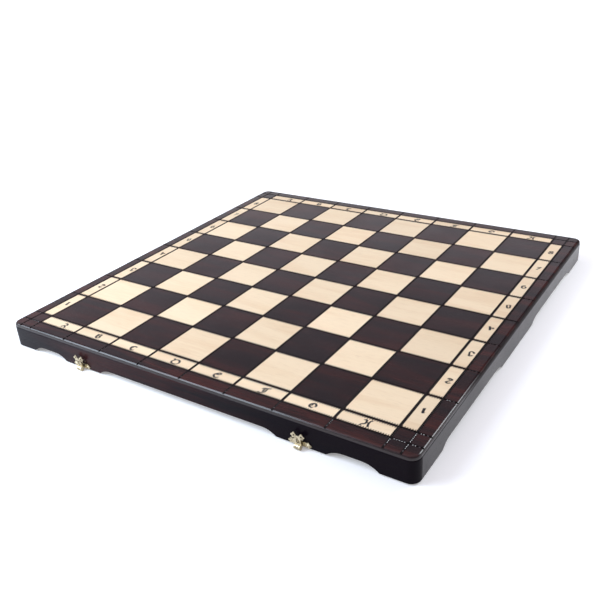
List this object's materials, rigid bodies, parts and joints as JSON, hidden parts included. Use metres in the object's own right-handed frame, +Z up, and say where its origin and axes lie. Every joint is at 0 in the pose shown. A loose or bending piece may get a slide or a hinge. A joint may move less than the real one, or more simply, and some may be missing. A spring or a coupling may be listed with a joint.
{
  "type": "folding chess board",
  "caption": "Folding wooden chess board that closes into a case: chequered inlaid top with file and rank labels, scalloped walls, brass hinges at the fold and hasp clasps.",
  "frame": {"origin": "under the middle of the fold, level with the lowest point of the hinge barrels", "axes": "+X along the files from A to H, +Y along the ranks from 1 to 8, +Z up out of the playing surface"},
  "size_m": [0.5026, 0.5182, 0.0291],
  "materials": {
    "dark_wood": "satin lacquer",
    "pale_wood": "satin lacquer",
    "brass": "polished, lightly aged",
    "lining_cloth": "felt"
  },
  "bodies": {
    "front_half": {"front_panel": "dark_wood", "front_pale_squares": "pale_wood", "front_label_tiles": "pale_wood", "front_clasp_wall": "dark_wood", "front_hinge_wall": "dark_wood", "front_left_wall": "dark_wood", "front_right_wall": "dark_wood", "front_lining": "lining_cloth", "front_hinge_screws": "brass", "left_hinge_front_leaf": "brass", "right_hinge_front_leaf": "brass", "left_hinge_pin": "brass", "right_hinge_pin": "brass", "left_clasp_plate": "brass", "right_clasp_plate": "brass", "left_clasp_pin": "brass", "right_clasp_pin": "brass", "clasp_nails": "brass"},
    "back_half": {"back_panel": "dark_wood", "back_pale_squares": "pale_wood", "back_label_tiles": "pale_wood", "back_catch_wall": "dark_wood", "back_hinge_wall": "dark_wood", "back_left_wall": "dark_wood", "back_right_wall": "dark_wood", "back_lining": "lining_cloth", "back_hinge_screws": "brass", "left_hinge_back_leaf": "brass", "right_hinge_back_leaf": "brass", "left_catch_plate": "brass", "right_catch_plate": "brass", "catch_nails": "brass"},
    "left_tongue": {"left_clasp_tongue": "brass"},
    "right_tongue": {"right_clasp_tongue": "brass"}
  },
  "joints": [
    {"name": "board_fold", "type": "hinge", "parent": "front_half", "child": "back_half", "pos_m": [0, 0, 0.0015], "axis": [-1, 0, 0], "range_deg": [0, 180]},
    {"name": "left_clasp_swing", "type": "hinge", "parent": "front_half", "child": "left_tongue", "pos_m": [-0.1395, -0.2564, 0.00285], "axis": [1, 0, 0], "range_deg": [0, 180]},
    {"name": "right_clasp_swing", "type": "hinge", "parent": "front_half", "child": "right_tongue", "pos_m": [0.1395, -0.2564, 0.00285], "axis": [1, 0, 0], "range_deg": [0, 180]}
  ]
}
